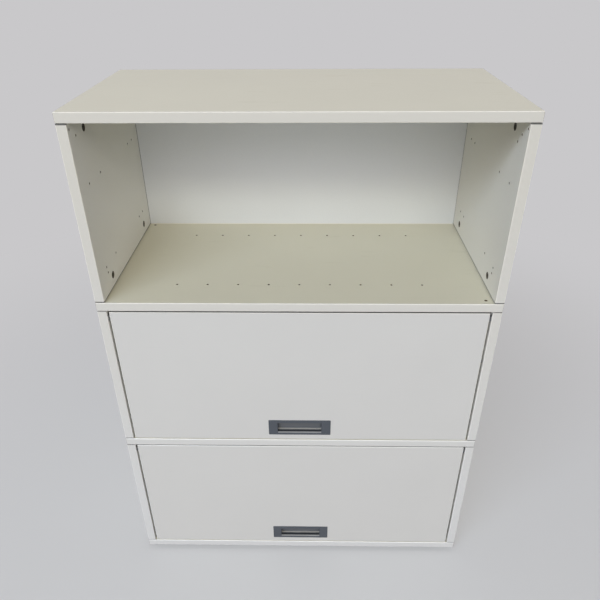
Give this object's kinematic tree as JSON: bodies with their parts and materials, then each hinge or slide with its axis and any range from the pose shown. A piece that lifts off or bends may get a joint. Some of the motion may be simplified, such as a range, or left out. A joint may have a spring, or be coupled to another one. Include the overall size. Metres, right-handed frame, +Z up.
{
  "type": "office storage cabinet",
  "caption": "Office storage cabinet with an open compartment above lift-up flaps with flush grips, which swing up and slide back under the boards; stands on levelling glides.",
  "frame": {"origin": "on the floor, under the middle of the cabinet's box", "axes": "+Z up, -Y out of the front, +X to the viewer's right when facing the front"},
  "size_m": [0.81, 0.394, 1.142],
  "materials": {
    "pearl_melamine": "pearl-white melamine on chipboard, satin",
    "grip_plastic": "blue-grey moulded plastic, fine texture",
    "anodised_aluminium": "satin anodised",
    "grey_acetal": "smooth moulded",
    "plated_steel": "zinc-plated",
    "cast_zinc": "dull die-cast zinc",
    "black_polyamide": "matte moulded"
  },
  "bodies": {
    "carcass": {"bottom_board": "pearl_melamine", "lower_shelf": "pearl_melamine", "upper_shelf": "pearl_melamine", "top_board": "pearl_melamine", "bottom_side_left": "pearl_melamine", "bottom_side_right": "pearl_melamine", "bottom_back": "pearl_melamine", "bottom_cam_left_front_lower": "cast_zinc", "bottom_cam_left_rear_lower": "cast_zinc", "bottom_cam_right_front_lower": "cast_zinc", "bottom_cam_right_rear_lower": "cast_zinc", "middle_side_left": "pearl_melamine", "middle_side_right": "pearl_melamine", "middle_back": "pearl_melamine", "middle_cam_left_front_lower": "cast_zinc", "middle_cam_left_rear_lower": "cast_zinc", "middle_cam_right_front_lower": "cast_zinc", "middle_cam_right_rear_lower": "cast_zinc", "top_side_left": "pearl_melamine", "top_side_right": "pearl_melamine", "top_back": "pearl_melamine", "top_cam_left_front_lower": "cast_zinc", "top_cam_left_front_upper": "cast_zinc", "top_cam_left_rear_lower": "cast_zinc", "top_cam_left_rear_upper": "cast_zinc", "top_cam_right_front_lower": "cast_zinc", "top_cam_right_front_upper": "cast_zinc", "top_cam_right_rear_lower": "cast_zinc", "top_cam_right_rear_upper": "cast_zinc", "glide_socket_front_left": "plated_steel", "glide_socket_front_right": "plated_steel", "glide_socket_rear_left": "plated_steel", "glide_socket_rear_right": "plated_steel", "bottom_rail_left": "anodised_aluminium", "bottom_rail_right": "anodised_aluminium", "middle_rail_left": "anodised_aluminium", "middle_rail_right": "anodised_aluminium"},
    "bottom_carriage": {"bottom_carriage_left": "grey_acetal", "bottom_carriage_right": "grey_acetal", "bottom_pivot_pin_left": "plated_steel", "bottom_pivot_pin_right": "plated_steel", "bottom_cross_bar": "plated_steel"},
    "bottom_flap": {"bottom_flap": "pearl_melamine", "bottom_grip": "grip_plastic", "bottom_support_stud_left": "grey_acetal", "bottom_support_stud_right": "grey_acetal"},
    "middle_carriage": {"middle_carriage_left": "grey_acetal", "middle_carriage_right": "grey_acetal", "middle_pivot_pin_left": "plated_steel", "middle_pivot_pin_right": "plated_steel", "middle_cross_bar": "plated_steel"},
    "middle_flap": {"middle_flap": "pearl_melamine", "middle_grip": "grip_plastic", "middle_support_stud_left": "grey_acetal", "middle_support_stud_right": "grey_acetal"},
    "front_left_glide": {"glide_front_left": "black_polyamide"},
    "front_right_glide": {"glide_front_right": "black_polyamide"},
    "rear_left_glide": {"glide_rear_left": "black_polyamide"},
    "rear_right_glide": {"glide_rear_right": "black_polyamide"}
  },
  "joints": [
    {"name": "bottom_flap_slide", "type": "slide", "parent": "carcass", "child": "bottom_carriage", "axis": [0, 1, 0], "range_m": [0, 0.325]},
    {"name": "bottom_flap_hinge", "type": "hinge", "parent": "bottom_carriage", "child": "bottom_flap", "pos_m": [0, -0.186, 0.363], "axis": [-1, 0, 0], "range_deg": [0, 90]},
    {"name": "middle_flap_slide", "type": "slide", "parent": "carcass", "child": "middle_carriage", "axis": [0, 1, 0], "range_m": [0, 0.325]},
    {"name": "middle_flap_hinge", "type": "hinge", "parent": "middle_carriage", "child": "middle_flap", "pos_m": [0, -0.186, 0.734], "axis": [-1, 0, 0], "range_deg": [0, 90]},
    {"name": "front_left_glide_turn", "type": "hinge", "parent": "carcass", "child": "front_left_glide", "pos_m": [-0.36, -0.152, 0], "axis": [0, 0, 1], "continuous": true},
    {"name": "front_right_glide_turn", "type": "hinge", "parent": "carcass", "child": "front_right_glide", "pos_m": [0.36, -0.152, 0], "axis": [0, 0, 1], "continuous": true},
    {"name": "rear_left_glide_turn", "type": "hinge", "parent": "carcass", "child": "rear_left_glide", "pos_m": [-0.36, 0.152, 0], "axis": [0, 0, 1], "continuous": true},
    {"name": "rear_right_glide_turn", "type": "hinge", "parent": "carcass", "child": "rear_right_glide", "pos_m": [0.36, 0.152, 0], "axis": [0, 0, 1], "continuous": true}
  ]
}
